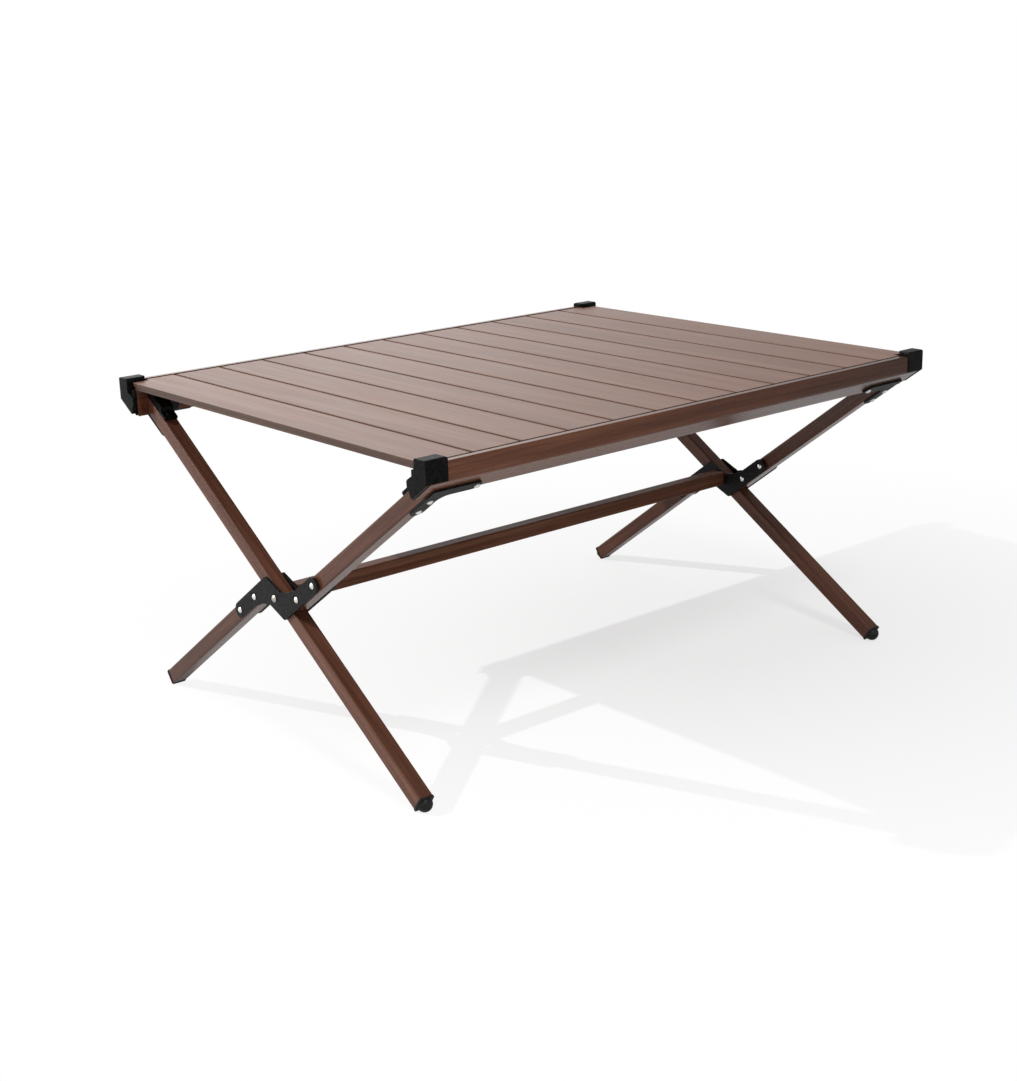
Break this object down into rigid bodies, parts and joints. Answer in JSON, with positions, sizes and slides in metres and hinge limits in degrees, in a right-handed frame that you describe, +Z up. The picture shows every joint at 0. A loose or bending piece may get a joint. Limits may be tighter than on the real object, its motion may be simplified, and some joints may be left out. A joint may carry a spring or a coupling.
{
  "type": "folding side table",
  "caption": "Folding side table with a roll-up slatted top resting between rails, crossed tube legs pivoting at moulded hubs, a stretcher, corner caps and domed feet.",
  "frame": {"origin": "on the floor, below the middle of the top", "axes": "+X along the rails, +Y from the front rail to the back rail, +Z up"},
  "size_m": [0.912, 0.7124, 0.456],
  "materials": {
    "slat_finish": "wood-grain film on aluminium, satin, pale brown in the light",
    "tube_finish": "wood-grain film on aluminium, satin, walnut brown",
    "plug_plastic": "black moulded plastic",
    "elastic_cord": "black elastic cord",
    "fitting_plastic": "black moulded plastic with a fine texture",
    "foot_plastic": "black moulded plastic, smooth",
    "rivet_metal": "bright domed rivets"
  },
  "bodies": {
    "split_frame": {"front_rail": "tube_finish", "front_ledge": "tube_finish", "front_caps": "fitting_plastic", "split_upper_left": "tube_finish", "split_upper_right": "tube_finish", "split_lower_left": "tube_finish", "split_lower_right": "tube_finish", "front_gussets": "fitting_plastic", "front_blocks": "fitting_plastic", "split_feet": "foot_plastic", "hub_outer_plates": "fitting_plastic", "hub_inner_plates": "fitting_plastic", "stretcher": "tube_finish", "pivot_pins": "rivet_metal", "split_rivets": "rivet_metal"},
    "straight_frame": {"back_rail": "tube_finish", "back_ledge": "tube_finish", "back_caps": "fitting_plastic", "straight_leg_left": "tube_finish", "straight_leg_right": "tube_finish", "back_gussets": "fitting_plastic", "back_blocks": "fitting_plastic", "straight_feet": "foot_plastic", "straight_rivets": "rivet_metal"},
    "top_01": {"slat_01": "slat_finish", "slat_plugs_01": "plug_plastic", "slat_cords_01": "elastic_cord"},
    "top_02": {"slat_02": "slat_finish", "slat_plugs_02": "plug_plastic", "slat_cords_02": "elastic_cord"},
    "top_03": {"slat_03": "slat_finish", "slat_plugs_03": "plug_plastic", "slat_cords_03": "elastic_cord"},
    "top_04": {"slat_04": "slat_finish", "slat_plugs_04": "plug_plastic", "slat_cords_04": "elastic_cord"},
    "top_05": {"slat_05": "slat_finish", "slat_plugs_05": "plug_plastic", "slat_cords_05": "elastic_cord"},
    "top_06": {"slat_06": "slat_finish", "slat_plugs_06": "plug_plastic", "slat_cords_06": "elastic_cord"},
    "top_07": {"slat_07": "slat_finish", "slat_plugs_07": "plug_plastic", "slat_cords_07": "elastic_cord"},
    "top_08": {"slat_08": "slat_finish", "slat_plugs_08": "plug_plastic", "slat_cords_08": "elastic_cord"},
    "top_09": {"slat_09": "slat_finish", "slat_plugs_09": "plug_plastic", "slat_cords_09": "elastic_cord"},
    "top_10": {"slat_10": "slat_finish", "slat_plugs_10": "plug_plastic", "slat_cords_10": "elastic_cord"},
    "top_11": {"slat_11": "slat_finish", "slat_plugs_11": "plug_plastic", "slat_cords_11": "elastic_cord"},
    "top_12": {"slat_12": "slat_finish", "slat_plugs_12": "plug_plastic", "slat_cords_12": "elastic_cord"}
  },
  "joints": [
    {"name": "frame_fold", "type": "hinge", "parent": "split_frame", "child": "straight_frame", "pos_m": [0, 0, 0.2055], "axis": [1, 0, 0], "range_deg": [0, 105]},
    {"name": "top_lift", "type": "slide", "parent": "split_frame", "child": "top_01", "axis": [0, 0, 1], "range_m": [0, 1.47]},
    {"name": "roll_01", "type": "hinge", "parent": "top_01", "child": "top_02", "pos_m": [-0.375, 0, 0.45], "axis": [0, -1, 0], "range_deg": [0, 40]},
    {"name": "roll_02", "type": "hinge", "parent": "top_02", "child": "top_03", "pos_m": [-0.3, 0, 0.45], "axis": [0, -1, 0], "range_deg": [0, 42.6]},
    {"name": "roll_03", "type": "hinge", "parent": "top_03", "child": "top_04", "pos_m": [-0.225, 0, 0.45], "axis": [0, -1, 0], "range_deg": [0, 45.2]},
    {"name": "roll_04", "type": "hinge", "parent": "top_04", "child": "top_05", "pos_m": [-0.15, 0, 0.45], "axis": [0, -1, 0], "range_deg": [0, 47.8]},
    {"name": "roll_05", "type": "hinge", "parent": "top_05", "child": "top_06", "pos_m": [-0.075, 0, 0.45], "axis": [0, -1, 0], "range_deg": [0, 50.4]},
    {"name": "roll_06", "type": "hinge", "parent": "top_06", "child": "top_07", "pos_m": [0, 0, 0.45], "axis": [0, -1, 0], "range_deg": [0, 53]},
    {"name": "roll_07", "type": "hinge", "parent": "top_07", "child": "top_08", "pos_m": [0.075, 0, 0.45], "axis": [0, -1, 0], "range_deg": [0, 55.6]},
    {"name": "roll_08", "type": "hinge", "parent": "top_08", "child": "top_09", "pos_m": [0.15, 0, 0.45], "axis": [0, -1, 0], "range_deg": [0, 58.2]},
    {"name": "roll_09", "type": "hinge", "parent": "top_09", "child": "top_10", "pos_m": [0.225, 0, 0.45], "axis": [0, -1, 0], "range_deg": [0, 60.8]},
    {"name": "roll_10", "type": "hinge", "parent": "top_10", "child": "top_11", "pos_m": [0.3, 0, 0.45], "axis": [0, -1, 0], "range_deg": [0, 63.4]},
    {"name": "roll_11", "type": "hinge", "parent": "top_11", "child": "top_12", "pos_m": [0.375, 0, 0.45], "axis": [0, -1, 0], "range_deg": [0, 66]}
  ],
  "couplings": [
    {"joint": "top_lift", "follows": "frame_fold", "m_per_rad": 0.8},
    {"joint": "roll_02", "follows": "roll_01", "ratio": 1.065},
    {"joint": "roll_03", "follows": "roll_01", "ratio": 1.13},
    {"joint": "roll_04", "follows": "roll_01", "ratio": 1.195},
    {"joint": "roll_05", "follows": "roll_01", "ratio": 1.26},
    {"joint": "roll_06", "follows": "roll_01", "ratio": 1.325},
    {"joint": "roll_07", "follows": "roll_01", "ratio": 1.39},
    {"joint": "roll_08", "follows": "roll_01", "ratio": 1.455},
    {"joint": "roll_09", "follows": "roll_01", "ratio": 1.52},
    {"joint": "roll_10", "follows": "roll_01", "ratio": 1.585},
    {"joint": "roll_11", "follows": "roll_01", "ratio": 1.65}
  ]
}
